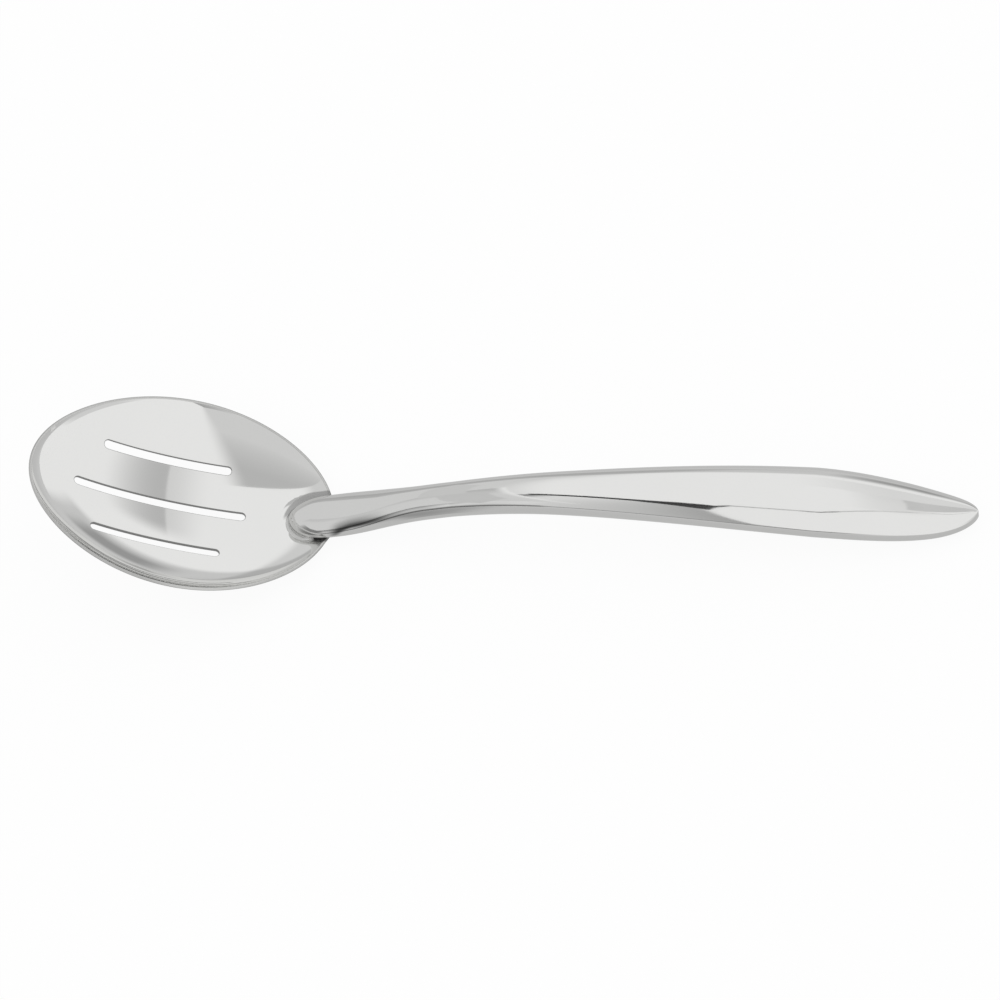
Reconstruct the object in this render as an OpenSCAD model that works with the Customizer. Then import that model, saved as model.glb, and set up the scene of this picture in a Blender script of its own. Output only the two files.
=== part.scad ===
// Slotted serving spoon: a pressed sheet bowl with three slots, and a hollow handle of two
// stamped shells that are welded along their seam and to the bowl.
// The spoon lies as it rests on a table. +X runs from the bowl's tip to the handle's end.
// Lengths are in millimetres and angles in degrees.

/* [Bowl] */
// Length of the bowl from tip to neck, along its rim
bowl_length = 111.2; // [100:0.1:125]
// Greatest width of the bowl across its rim
bowl_width = 78; // [70:0.1:86]
// Depth of the bowl below its rim
bowl_depth = 11.9; // [10:0.1:16]
// Thickness of the bowl's sheet
bowl_sheet = 1.2; // [0.9:0.05:1.5]
// How far the tip and the neck sweep up from the rim's middle
rim_sweep = 1.6; // [0:0.1:4]
// How much fuller the bowl is on the side of the neck
neck_fullness = 0.4; // [0:0.1:2]
// How much the bowl's ends are drawn to a point
end_draw = 0.6; // [0:0.1:1.5]
// Pitch of the rim when the spoon rests on a table, tip up
bowl_pitch = 22.8; // [19:0.1:25]

/* [Slots] */
// Width of each slot
slot_width = 3.2; // [2.4:0.1:4]
// Length of the middle slot
middle_slot_length = 63.4; // [50:0.5:68]
// Length of each side slot
side_slot_length = 47.4; // [36:0.2:52]
// Distance of each side slot from the middle slot
slot_pitch = 17.2; // [14:0.1:19]
// Offset of the middle slot's centre from the bowl's centre, towards the tip
middle_slot_shift = 6.8; // [3:0.1:9]
// Offset of the side slots' centres from the bowl's centre, towards the tip
side_slot_shift = 6.3; // [3:0.1:9]

/* [Handle] */
// Length of the handle from the bowl's rim to its end
handle_length = 230.3; // [210:0.1:250]
// How far the handle's nose reaches over the bowl from its rim
nose_reach = 16.3; // [13:0.1:19]
// Width of the handle where it crosses the bowl's rim
root_width = 17.2; // [15:0.1:18.5]
// Height of the handle's crown above its seam, where it crosses the bowl's rim
root_crown = 4.9; // [4.4:0.1:5.4]
// Depth of the handle's belly below its seam, where it crosses the bowl's rim
root_belly = 3.1; // [2.8:0.1:3.4]
// Width of the handle's slim neck
neck_width = 12.4; // [11:0.1:14]
// Thickness of the handle's slim neck
neck_thickness = 12.4; // [11:0.1:13.5]
// Greatest width of the handle's palm
palm_width = 27.2; // [24:0.1:32]
// Height of the palm's crown above its seam
palm_crown = 7.3; // [6.5:0.1:8.5]
// Depth of the palm's belly below its seam
palm_belly = 6.4; // [5.5:0.1:7]
// Height of the handle's blunt ends, above and below the seam
blunt_height = 1.4; // [1.1:0.1:1.8]
// Wall of the handle's shells
shell_wall = 1; // [0.7:0.05:1.2]

/* [Handle places, from the bowl's rim] */
// Distance at which the flared root has become the slim neck
neck_place = 36; // [30:0.5:42]
// Distance at which the slim neck starts to widen
widening_place = 46; // [43:0.5:55]
// Distance of the arch's crest
crest_place = 84; // [75:1:95]
// Distance of the widest place of the palm
palm_place = 174; // [160:1:182]
// Distance of the tail, where the handle dips before its end
tail_place = 212; // [200:1:216]

/* [Handle heights of the seam above the table] */
// Height at the nose
nose_height = 3.2; // [3:0.1:4]
// Height at the root
root_height = 9.9; // [9:0.1:12]
// Height at the arch's crest
crest_height = 20.5; // [18:0.1:24]
// Height at the palm
palm_height = 13.5; // [12:0.1:16]
// Height at the tail
tail_height = 5.5; // [4.8:0.1:6]
// Height at the end
end_height = 5.6; // [5:0.1:7]

/* [Joints] */
// Half-width of the hollow pressed into the bowl under the handle's nose
seat_radius = 10.7; // [9.5:0.1:12]
// Depth of that hollow at the bowl's rim
seat_depth = 1.2; // [0.8:0.1:1.6]
// Depth of the weld groove along the handle's seam
groove_depth = 0.5; // [0.3:0.05:0.6]
// Leg of the weld bead round the handle's nose
bead_leg = 1.8; // [1.4:0.05:2.2]
// How far the bead runs back from the nose along each side
bead_reach = 9.5; // [8:0.1:11]
// How deep the bead sinks into the bowl's sheet
bead_sink = 0.35; // [0.2:0.05:0.5]

/* [Hidden] */

// Share of an ellipsoid's half-width at which the rim cuts it
cap_share = 0.96;
// Shares of a full turn and of the bowl's radius for numeric slopes
slope_turn_share = 0.002;
slope_radius_share = 0.01;
// Faces of the bowl round its rim and from its centre to its rim
bowl_turns = 72;
bowl_rings = 11;
// Faces of the handle along its length and round each shell
handle_steps = 50;
shell_arcs = 14;
// Sides of a slot's round ends
slot_sides = 32;
// Cuts reach this far past what they cut
overrun = 4;
// Points nearer than this are one point
point_gap = 0.00002;

// Place of the root, where the handle leaves the bowl most steeply, from the bowl's rim
root_place = 18;
// Reach of the handle's flared root past the bowl's rim
root_hold = 2;
// Length over which the nose grows to its full width and to its full thickness
nose_round = 14;
nose_swell = 9;
// Steepness of the seam at each named place
nose_slope = 5;
root_slope = 16.9;
palm_slope = -8.2;
tail_slope = -10.2;
end_slope = 14;

// Depth of the seat's hollow at the nose, as a share of its depth at the rim
seat_start_share = 0.6;
// Share of the seat's radius that is flat, inside its lip
seat_flat_share = 0.5;
// The rows of the handle's faces that the weld bead lies against
bead_rows = [1, 2, 3];
// How far the bead's foot stands proud of the bowl, as a share of its leg
bead_rise_share = 0.15;

bowl_half = bowl_length / 2;
bowl_side = bowl_width / 2 - end_draw;
slot_radius = slot_width / 2;
cap_floor = sqrt(1 - pow(cap_share, 2));

function mix(a, b, share) = a + (b - a) * share;
function clamp(value, low, high) = min(max(value, low), high);
// Smooth step from 0 to 1 between two places
function ease(x, from, to) = (1 - cos(180 * clamp((x - from) / (to - from), 0, 1))) / 2;
// Straight and smooth steps shared evenly
function soft(x, from, to) = (clamp((x - from) / (to - from), 0, 1) + ease(x, from, to)) / 2;
// Quarter of a circle from 0 to 1
function quarter(share) = sqrt(1 - pow(1 - clamp(share, 0, 1), 2));
function unit(v) = v / norm(v);

// The underside of the bowl in the rim's frame, for a share r of the way to the rim at angle t
function cap(r) = (sqrt(1 - pow(cap_share * r, 2)) - cap_floor) / (1 - cap_floor);
function rim_x(r, t) = bowl_half * r * cos(t);
function rim_y(r, t) = bowl_side * r * sin(t) + neck_fullness * r * r * sin(2 * t)
    - end_draw * pow(r, 3) * sin(3 * t);
function under(r, t) = [
    rim_x(r, t),
    rim_y(r, t),
    rim_sweep * pow(r * cos(t), 2) - bowl_depth * cap(r)
];
function under_normal(r, t) = r < slope_radius_share
    ? [0, 0, 1]
    : unit(cross(
        under(r + slope_radius_share, t) - under(r - slope_radius_share, t),
        under(r, t + 360 * slope_turn_share) - under(r, t - 360 * slope_turn_share)
    ));
function inner_radius(r) = min(r, 1 - slope_radius_share);
// A point of the sheet, from its underside at 0 to its upper side at 1
function sheet(r, t, side) = under(r, t) + side * bowl_sheet * under_normal(inner_radius(r), t);

// From the rim's frame to the table's frame, before the bowl is set down
function pitched(p) = [
    p.x * cos(bowl_pitch) + p.z * sin(bowl_pitch),
    p.y,
    p.z * cos(bowl_pitch) - p.x * sin(bowl_pitch)
];
// The hollow under the nose, as a drop of the sheet in the table's frame
nose_x = pitched(under(1, 0)).x - nose_reach;
function seat_drop(p) =
    let (
        reach = max(0, nose_x + seat_radius / 2 - p.x),
        away = norm([reach, p.y]) / seat_radius,
        growth = mix(seat_start_share, 1, clamp((p.x - nose_x) / nose_reach, 0, 1))
    )
    seat_depth * growth * (1 - ease(away, seat_flat_share, 1));
function seated(p) = p - [0, 0, seat_drop(p)];

// The bowl is set down on its lowest point
low_steps = 60;
bowl_low = min([for (i = [0:low_steps]) seated(pitched(under(i / low_steps, 0))).z]);
function placed(p) = pitched(p) - [0, 0, bowl_low];
rim_neck = placed(under(1, 0));
rim_tip = placed(under(1, 180));

// The handle in plan and in side view, from its nose to its end
end_x = rim_neck.x + handle_length;
function along(place) = rim_neck.x + place;
function handle_x(share) = mix(nose_x, end_x, (1 - cos(180 * share)) / 2);
function end_round(x) = sqrt(max(0, 1 - pow(clamp((x - along(palm_place)) / (end_x - along(palm_place)), 0, 1), 2)));
function half_width(x) = quarter((x - nose_x) / nose_round) * end_round(x) * (
    mix(root_width, neck_width, ease(x, along(root_hold), along(neck_place)))
    + (palm_width - neck_width) * soft(x, along(widening_place), along(palm_place))
) / 2;
// A form holds a shell's height at the root and at the palm
crown_form = [root_crown, palm_crown];
belly_form = [root_belly, palm_belly];
function half_thickness(x, form) = blunt_height + (
    mix(
        mix(form[0], neck_thickness / 2, ease(x, rim_neck.x - nose_reach / 2, along(neck_place))),
        form[1],
        ease(x, along(widening_place), along(palm_place))
    ) - blunt_height
) * quarter((x - nose_x) / nose_swell) * end_round(x);

// The seam's height: smooth curves through named places
seam_places = [
    [nose_x, nose_height, tan(nose_slope)],
    [along(root_place), root_height, tan(root_slope)],
    [along(crest_place), crest_height, 0],
    [along(palm_place), palm_height, tan(palm_slope)],
    [along(tail_place), tail_height, tan(tail_slope)],
    [end_x, end_height, tan(end_slope)]
];
function cubic(a, b, u, run) =
    (2 * pow(u, 3) - 3 * pow(u, 2) + 1) * a[1] + (pow(u, 3) - 2 * pow(u, 2) + u) * run * a[2]
    + (3 * pow(u, 2) - 2 * pow(u, 3)) * b[1] + (pow(u, 3) - pow(u, 2)) * run * b[2];
function seam_span(x, i = 0) = i < len(seam_places) - 2 && x > seam_places[i + 1][0] ? seam_span(x, i + 1) : i;
function seam_height(x) =
    let (i = seam_span(x), a = seam_places[i], b = seam_places[i + 1], run = b[0] - a[0])
    cubic(a, b, (x - a[0]) / run, run);

// The handle's outline in plan and its outward direction at each step
function outline(i) = let (x = handle_x(i / handle_steps)) [x, half_width(x)];
function outline_next(i, step) = i + step < 0 ? mirrored(outline(1))
    : i + step > handle_steps ? mirrored(outline(handle_steps - 1)) : outline(i + step);
function mirrored(p) = [p.x, -p.y];
function outward(i) =
    let (along_edge = unit(outline_next(i, 1) - outline_next(i, -1)))
    [-along_edge.y, along_edge.x];
// A point on the seam, set in from the outline, and lifted by the groove
function seam_point(i, inset, lift, side) =
    let (p = outline(i) - inset * outward(i))
    [p.x, side * max(0, p.y), seam_height(p.x) + lift];
groove_lip_share = 0.12;
function lip_point(i, up, side) = seam_point(i, groove_depth * groove_lip_share, up * groove_depth, side);

// Half a ring of the shell's outer face, from one groove to the other
function outer_arc(i, form, up) = [
    lip_point(i, up, 1),
    for (j = [1:shell_arcs - 1])
        let (t = 180 * j / shell_arcs, x = outline(i).x)
        [x, half_width(x) * cos(t), seam_height(x) + up * half_thickness(x, form) * sin(t)],
    lip_point(i, up, -1)
];
// The same half ring of the hollow inside
function inner_arc(i, form, up) = [
    for (j = [0:shell_arcs])
        let (
            t = 180 - 180 * j / shell_arcs,
            wall_side = seam_point(i, shell_wall, 0, 1),
            height = max(0, half_thickness(outline(i).x, form) - shell_wall)
        )
        [wall_side.x, wall_side.y * cos(t), wall_side.z + up * height * sin(t)]
];
function shell_ring(i, form, up) = concat(
    outer_arc(i, form, up),
    [seam_point(i, groove_depth, 0, -1)],
    inner_arc(i, form, up),
    [seam_point(i, groove_depth, 0, 1)]
);
// The groove's three sides and its flush outer edge
function groove_ring(i, side) = [
    seam_point(i, groove_depth, 0, side),
    lip_point(i, 1, side),
    seam_point(i, 0, 0, side),
    lip_point(i, -1, side)
];
// The whole handle's outer face
function envelope_ring(i) =
    let (upper = outer_arc(i, crown_form, 1), lower = outer_arc(i, belly_form, -1))
    concat(
        upper,
        [seam_point(i, 0, 0, -1)],
        [for (j = [0:shell_arcs]) lower[shell_arcs - j]],
        [seam_point(i, 0, 0, 1)]
    );

// A closed skin over rings of points, which may shrink to a line at its ends
module skin(rings, looped = false, flipped = false, capped = false) {
    count = len(rings[0]);
    points = [for (ring = rings) each ring];
    last = looped ? len(rings) : len(rings) - 1;
    sides = [
        for (i = [0:last - 1], j = [0:count - 1])
            let (
                k = (i + 1) % len(rings),
                n = (j + 1) % count,
                a = i * count + j,
                b = i * count + n,
                c = k * count + n,
                d = k * count + j
            )
            each [[a, b, c], [a, c, d]]
    ];
    end_start = (len(rings) - 1) * count;
    ends = capped
        ? [
            for (j = [1:count - 2])
                each [[0, j + 1, j], [end_start, end_start + j, end_start + j + 1]]
        ]
        : [];
    function same(a, b) = norm(points[a] - points[b]) < point_gap;
    faces = [
        for (f = concat(sides, ends))
            if (!same(f[0], f[1]) && !same(f[1], f[2]) && !same(f[2], f[0]))
                flipped ? [f[2], f[1], f[0]] : f
    ];
    polyhedron(points, faces, convexity = 6);
}

module handle_envelope() {
    skin([for (i = [0:handle_steps]) envelope_ring(i)], flipped = true);
}

function bowl_ring_shares() = [for (k = [1:bowl_rings]) pow(k / bowl_rings, 0.8)];

module bowl_sheet_solid() {
    shares = bowl_ring_shares();
    function side_points(side) = [
        for (r = shares, j = [0:bowl_turns - 1]) seated(placed(sheet(r, 360 * j / bowl_turns, side)))
    ];
    layer = bowl_rings * bowl_turns;
    points = concat(
        side_points(0),
        side_points(1),
        [seated(placed(sheet(0, 0, 0))), seated(placed(sheet(0, 0, 1)))]
    );
    function at(k, j, side) = side * layer + k * bowl_turns + j % bowl_turns;
    fans = [
        for (j = [0:bowl_turns - 1])
            each [[2 * layer, at(0, j, 0), at(0, j + 1, 0)], [2 * layer + 1, at(0, j + 1, 1), at(0, j, 1)]]
    ];
    spans = [
        for (k = [0:bowl_rings - 2], j = [0:bowl_turns - 1])
            each [
                [at(k, j, 0), at(k + 1, j, 0), at(k + 1, j + 1, 0)],
                [at(k, j, 0), at(k + 1, j + 1, 0), at(k, j + 1, 0)],
                [at(k, j, 1), at(k + 1, j + 1, 1), at(k + 1, j, 1)],
                [at(k, j, 1), at(k, j + 1, 1), at(k + 1, j + 1, 1)]
            ]
    ];
    edge = [
        for (j = [0:bowl_turns - 1])
            let (k = bowl_rings - 1)
            each [
                [at(k, j, 0), at(k, j, 1), at(k, j + 1, 1)],
                [at(k, j, 0), at(k, j + 1, 1), at(k, j + 1, 0)]
            ]
    ];
    polyhedron(points, concat(fans, spans, edge), convexity = 6);
}

module slot_cut(length, shift, offset) {
    translate([0, 0, -bowl_low])
        rotate([0, bowl_pitch, 0])
            hull()
                for (end = [-1, 1])
                    translate([end * (length / 2 - slot_radius) - shift, offset, -bowl_depth - overrun])
                        cylinder(h = bowl_depth + overrun, r = slot_radius, $fn = slot_sides);
}

module slots() {
    slot_cut(middle_slot_length, middle_slot_shift, 0);
    for (side = [-1, 1])
        slot_cut(side_slot_length, side_slot_shift, side * slot_pitch);
}

// Height of the bowl's upper side at a place near the neck
function bowl_height(p) =
    let (
        flat_x = (p.x - rim_neck.x) / cos(bowl_pitch) + bowl_half,
        r = clamp(norm([flat_x / bowl_half, 2 * p.y / bowl_width]), 0, 1),
        t = atan2(p.y / bowl_width, flat_x / bowl_length)
    )
    seated(placed(sheet(r, t, 1))).z;

// The weld bead lies against the handle's lower faces and sinks into the sheet
bead_last = max([for (i = [0:handle_steps]) if (outline(i).x < nose_x + bead_reach) i]);
function bead_ring(i, side) =
    let (
        arc = outer_arc(i, belly_form, -1),
        rows = [for (j = bead_rows) arc[side > 0 ? j : shell_arcs - j]],
        away = outward(i) * bead_leg,
        foot = [rows[0].x + away.x, rows[0].y + side * away.y],
        root = rows[2]
    )
    concat(
        rows,
        [[root.x, root.y, min(root.z, bowl_height(root)) - bead_sink]],
        [[foot.x, foot.y, bowl_height(foot) + bead_rise_share * bead_leg]]
    );
module bead() {
    skin(
        concat(
            [for (i = [bead_last:-1:0]) bead_ring(i, 1)],
            [for (i = [1:bead_last]) bead_ring(i, -1)]
        ),
        capped = true
    );
}

module bowl() {
    color("gainsboro")
        difference() {
            bowl_sheet_solid();
            slots();
            handle_envelope();
            bead();
        }
}

module handle_upper_shell() {
    color("lightgray")
        skin([for (i = [0:handle_steps]) shell_ring(i, crown_form, 1)], flipped = true);
}

module handle_lower_shell() {
    color("silver")
        skin([for (i = [0:handle_steps]) shell_ring(i, belly_form, -1)]);
}

module handle_seam_weld() {
    color("darkgray")
        skin(
            concat(
                [for (i = [0:handle_steps]) groove_ring(i, 1)],
                [for (i = [handle_steps - 1:-1:1]) groove_ring(i, -1)]
            ),
            looped = true
        );
}

module neck_weld() {
    color("darkgray")
        bead();
}

// The origin is under the middle of the spoon, on the table
middle_x = (rim_tip.x + end_x) / 2;
module on_table() {
    translate([-middle_x, 0, 0])
        children();
}

on_table() bowl();
on_table() handle_upper_shell();
on_table() handle_lower_shell();
on_table() handle_seam_weld();
on_table() neck_weld();
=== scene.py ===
"""Looks for the slotted serving spoon: polished sheet steel in a soft white studio.

The surfaces follow the same formulas as the solids, with far more faces, rounded edges and exact
normals, because a polished surface shows every facet in its reflections. The spoon's sizes are in
millimetres until a mesh is made, the studio's are in metres, and angles are in degrees.
"""
import math
from collections import namedtuple

import bpy
import numpy as np
from mathutils import Matrix, Vector
from mathutils.geometry import delaunay_2d_cdt

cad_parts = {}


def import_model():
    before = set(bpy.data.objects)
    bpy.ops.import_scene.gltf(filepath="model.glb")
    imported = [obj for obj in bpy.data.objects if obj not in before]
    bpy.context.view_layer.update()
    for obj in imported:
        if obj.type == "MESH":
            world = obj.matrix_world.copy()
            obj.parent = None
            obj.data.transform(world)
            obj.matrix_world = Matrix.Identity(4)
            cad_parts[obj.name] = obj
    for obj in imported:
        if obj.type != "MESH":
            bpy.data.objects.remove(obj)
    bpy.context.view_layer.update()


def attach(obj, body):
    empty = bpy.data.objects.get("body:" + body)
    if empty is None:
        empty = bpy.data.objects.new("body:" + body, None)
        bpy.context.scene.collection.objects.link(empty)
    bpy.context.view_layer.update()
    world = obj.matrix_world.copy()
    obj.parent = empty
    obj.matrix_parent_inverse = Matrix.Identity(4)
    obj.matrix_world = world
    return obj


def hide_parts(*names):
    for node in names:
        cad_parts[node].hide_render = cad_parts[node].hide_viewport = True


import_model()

MM = 0.001
DEG = math.pi / 180
TINY = 1e-12  # least length that is divided by
FAR_ABOVE = 1e3  # height that stands for no handle

# Bowl
BOWL_LENGTH = 111.2
BOWL_WIDTH = 78
BOWL_DEPTH = 11.9
SHEET = 1.2
RIM_SWEEP = 1.6  # how far the tip and the neck sweep up
NECK_FULLNESS = 0.4  # how much fuller the bowl is on the side of the neck
END_DRAW = 0.6  # how much the bowl's ends are drawn to a point
BOWL_PITCH = 22.8
CAP_SHARE = 0.96  # share of an ellipsoid's half-width at which the rim cuts it

# Seat pressed into the bowl under the handle's nose
SEAT_RADIUS = 10.7
SEAT_DEPTH = 1.2
SEAT_START_SHARE = 0.6  # share of the depth at the nose
SEAT_FLAT_SHARE = 0.5  # share of the radius that is flat

# Slots: length, shift towards the tip and offset from the middle
SLOT_WIDTH = 3.2
MIDDLE_SLOT = (63.4, 6.8, 0)
SIDE_SLOT = (47.4, 6.3, 17.2)
SIDE_SLOT_LEAN = 0.22  # shift outwards at the underside, as the slots stand square to the sheet

# Handle
HANDLE_LENGTH = 230.3
NOSE_REACH = 16.3
ROOT_WIDTH = 17.2
ROOT_CROWN = 4.9
ROOT_BELLY = 3.1
NECK_WIDTH = 12.4
NECK_THICKNESS = 12.4
PALM_WIDTH = 27.2
PALM_CROWN = 7.3
PALM_BELLY = 6.4
BLUNT_HEIGHT = 1.4
SHELL_WALL = 1
GROOVE_DEPTH = 0.5
GROOVE_OPENING = 0.75  # half-height of the weld's face, as a share of the groove's depth
# Halves of the handle: thickness at the root and at the palm, and the way up or down
Half = namedtuple("Half", "root palm up")
CROWN = Half(ROOT_CROWN, PALM_CROWN, 1)
BELLY = Half(ROOT_BELLY, PALM_BELLY, -1)
# Places along the handle, from the bowl's rim
ROOT_HOLD = 2
ROOT_PLACE = 18
NECK_PLACE = 36
WIDENING_PLACE = 46
CREST_PLACE = 84
PALM_PLACE = 174
TAIL_PLACE = 212
# Lengths over which the nose grows to its width and to its thickness
NOSE_ROUND = 14
NOSE_SWELL = 9
# Height and steepness of the seam at its named places
SEAM_NOSE = (3.2, 5)
SEAM_ROOT = (9.9, 16.9)
SEAM_CREST = (20.5, 0)
SEAM_PALM = (13.5, -8.2)
SEAM_TAIL = (5.5, -10.2)
SEAM_END = (5.6, 14)

# Weld bead round the nose
BEAD_LEG = 1.8
BEAD_REACH = 9.5
BEAD_SINK = 0.35
BEAD_FADE = 4.5  # length of each end, where the bead thins out
BEAD_TAPER = 0.8  # share of the leg that is lost there
BEAD_TOP_TURN = 4  # turn below the seam at which the bead leaves the handle
BEAD_END_TURN = 24  # the same at its ends
BEAD_ROOT_TURN = 40  # turn of its hidden back
BEAD_CLEARANCE = 0.02  # height of its foot above the sheet
BEAD_PROBE = 0.1  # distance past the foot that gives the sheet's slope there

# Roundings of the sheet's cut edges
RIM_ROUND = 0.4
SLOT_ROUND = 0.22

# Rows of faces beside the rim and beside each slot, at these distances
RIM_ROWS = (0.65, 0.95, 1.25, 1.6, 2.0, 2.4, 2.9, 3.4, 4.0, 4.7, 5.5, 6.4)
SLOT_ROWS = (0.42, 0.75, 1.2)
# Even field of places on the rest of the sheet, and how far it stays off the rows
FIELD_SPACING = 1.05
FIELD_RIM_GAP = 1.06  # in parts of the last row's distance
FIELD_SLOT_GAP = 1.7
# Fineness of the faces
RIM_COUNT = 800
SLOT_SPACING = 0.8
SLOT_END_STEPS = 20
EDGE_STEPS = 5
LENGTH_STEPS = 300
ARC_STEPS = 44
INNER_STEPS = 16
SEAM_STEPS = 4
BEAD_STEPS = 70
BEAD_ROWS = 10
# Kinds of the bowl's faces, in the order of its materials
TOP_FACE, SLOT_FACE, RIM_FACE, UNDER_FACE = range(4)

# Small steps for slopes: on the disc under the bowl, on the sheet, and along the handle
DISC_STEP = 1e-4
SHEET_STEP = 0.01
HANDLE_STEP = 0.002
NORMAL_REACH = 0.995  # share of the disc inside which normals are worked out
# Rounds in which a place on the disc or on the sheet is found, and places tried for the lowest one
DISC_ROUNDS = 12
SHEET_ROUNDS = 6
LOW_STEPS = 60
# Points that are nearer than this are one point
MERGE_DISTANCE = 1e-6
CORNER_DISTANCE = 1e-4
INSIDE_ONLY = 1  # Blender's number for triangles inside the borders


def ease(x, start, end):
    """Smooth step from 0 to 1 between two places."""
    return (1 - np.cos(np.pi * np.clip((x - start) / (end - start), 0, 1))) / 2


def soft(x, start, end):
    """Straight and smooth steps shared evenly."""
    return (np.clip((x - start) / (end - start), 0, 1) + ease(x, start, end)) / 2


def quarter(share):
    """Quarter of a circle from 0 to 1."""
    return np.sqrt(1 - (1 - np.clip(share, 0, 1)) ** 2)


def mix(a, b, share):
    return a + (b - a) * share


def shares(count):
    """Even steps from 0 to 1."""
    return np.arange(count + 1) / count


def hermite(u, start, leave, end, arrive):
    """Smooth curve between two places, with the slopes at which it leaves and arrives."""
    return (
        (2 * u ** 3 - 3 * u ** 2 + 1) * start + (u ** 3 - 2 * u ** 2 + u) * leave
        + (3 * u ** 2 - 2 * u ** 3) * end + (u ** 3 - u ** 2) * arrive
    )


def unit(v):
    return v / np.maximum(np.linalg.norm(v, axis=-1, keepdims=True), TINY)


# The bowl's sheet, over a disc of radius 1 with coordinates p and q
BOWL_HALF = BOWL_LENGTH / 2
BOWL_SIDE = BOWL_WIDTH / 2 - END_DRAW
CAP_FLOOR = math.sqrt(1 - CAP_SHARE ** 2)
PITCH_COS = math.cos(BOWL_PITCH * DEG)
PITCH_SIN = math.sin(BOWL_PITCH * DEG)


def cap(r):
    """Depth of the bowl as a share, at a share of its radius."""
    return (np.sqrt(np.maximum(0, 1 - (CAP_SHARE * r) ** 2)) - CAP_FLOOR) / (1 - CAP_FLOOR)


def plan_y(p, q):
    return BOWL_SIDE * q + 2 * NECK_FULLNESS * p * q - END_DRAW * (3 * p * p * q - q ** 3)


def under(p, q):
    """Point of the bowl's underside in the rim's frame."""
    height = RIM_SWEEP * p * p - BOWL_DEPTH * cap(np.hypot(p, q))
    return np.stack([BOWL_HALF * p, plan_y(p, q), height], -1)


def disc_place(x, y):
    """Disc coordinates of a place in the rim's plane, by Newton's method."""
    p = x / BOWL_HALF
    q = y / BOWL_SIDE
    for _ in range(DISC_ROUNDS):
        slope = BOWL_SIDE + 2 * NECK_FULLNESS * p - END_DRAW * (3 * p * p - 3 * q * q)
        q = q - (plan_y(p, q) - y) / slope
    return p, q


def sheet_normal(p, q):
    """Normal of the bowl's underside in the rim's frame. At the rim it is taken just inside."""
    inside = np.minimum(1, NORMAL_REACH / np.maximum(np.hypot(p, q), TINY))
    p, q = p * inside, q * inside
    return unit(np.cross(
        under(p + DISC_STEP, q) - under(p - DISC_STEP, q),
        under(p, q + DISC_STEP) - under(p, q - DISC_STEP),
    ))


def pitched(v):
    """From the rim's frame to the table's, before the bowl is set down."""
    return np.stack([
        v[..., 0] * PITCH_COS + v[..., 2] * PITCH_SIN,
        v[..., 1],
        v[..., 2] * PITCH_COS - v[..., 0] * PITCH_SIN,
    ], -1)


# Places along the spoon, and those that the materials use, which are in the part's frame
RIM_NECK_X = float(pitched(under(np.array(1.0), np.array(0.0)))[0])
RIM_TIP_X = float(pitched(under(np.array(-1.0), np.array(0.0)))[0])
NOSE_X = RIM_NECK_X - NOSE_REACH
END_X = RIM_NECK_X + HANDLE_LENGTH
MIDDLE_X = (RIM_TIP_X + END_X) / 2
RIM_PLACE = RIM_NECK_X - MIDDLE_X
NOSE_MIDDLE = NOSE_X + ROOT_WIDTH / 2 - MIDDLE_X


def seat_drop(v):
    """Drop of the sheet in the hollow under the handle's nose."""
    reach = np.maximum(0, NOSE_X + SEAT_RADIUS / 2 - v[..., 0])
    away = np.hypot(reach, v[..., 1]) / SEAT_RADIUS
    growth = mix(SEAT_START_SHARE, 1, np.clip((v[..., 0] - NOSE_X) / NOSE_REACH, 0, 1))
    return SEAT_DEPTH * growth * (1 - ease(away, SEAT_FLAT_SHARE, 1))


def seated(v):
    return v - np.stack([np.zeros(v.shape[:-1])] * 2 + [seat_drop(v)], -1)


# The spoon rests on the lowest place of the underside, which lies between the bowl's middle and the neck
BOWL_LOW = float(seated(pitched(under(shares(LOW_STEPS), 0 * shares(LOW_STEPS))))[:, 2].min())


def sheet(x, y, height):
    """Point of the sheet over a place in the rim's plane, in the part's frame."""
    p, q = disc_place(x, y)
    v = pitched(under(p, q) + np.asarray(height)[..., None] * sheet_normal(p, q))
    return seated(v - np.array([0, 0, BOWL_LOW])) - np.array([MIDDLE_X, 0, 0])


def sheet_frame(x, y, height):
    """Tangents along x and y, and the normal, of the seated sheet at a height."""
    along_x = sheet(x + SHEET_STEP, y, height) - sheet(x - SHEET_STEP, y, height)
    along_y = sheet(x, y + SHEET_STEP, height) - sheet(x, y - SHEET_STEP, height)
    return along_x, along_y, unit(np.cross(along_x, along_y))


def sheet_top(x, y):
    """Height of the sheet's upper side near the neck, over a place in the part's frame."""
    level = np.full(np.shape(x), SHEET)
    flat_x = (x + MIDDLE_X - RIM_NECK_X) / PITCH_COS + BOWL_HALF
    for _ in range(SHEET_ROUNDS):
        flat_x = flat_x + (x - sheet(flat_x, y, level)[..., 0]) / PITCH_COS
    return sheet(flat_x, y, level)[..., 2]


# The handle
def place(distance):
    return RIM_NECK_X + distance


def end_round(x):
    """Share of the palm's size that is left towards the handle's round end."""
    share = np.clip((x - place(PALM_PLACE)) / (END_X - place(PALM_PLACE)), 0, 1)
    return np.sqrt(np.maximum(0, 1 - share ** 2))


def half_width(x):
    slim = mix(ROOT_WIDTH, NECK_WIDTH, ease(x, place(ROOT_HOLD), place(NECK_PLACE)))
    wide = (PALM_WIDTH - NECK_WIDTH) * soft(x, place(WIDENING_PLACE), place(PALM_PLACE))
    return quarter((x - NOSE_X) / NOSE_ROUND) * end_round(x) * (slim + wide) / 2


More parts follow.
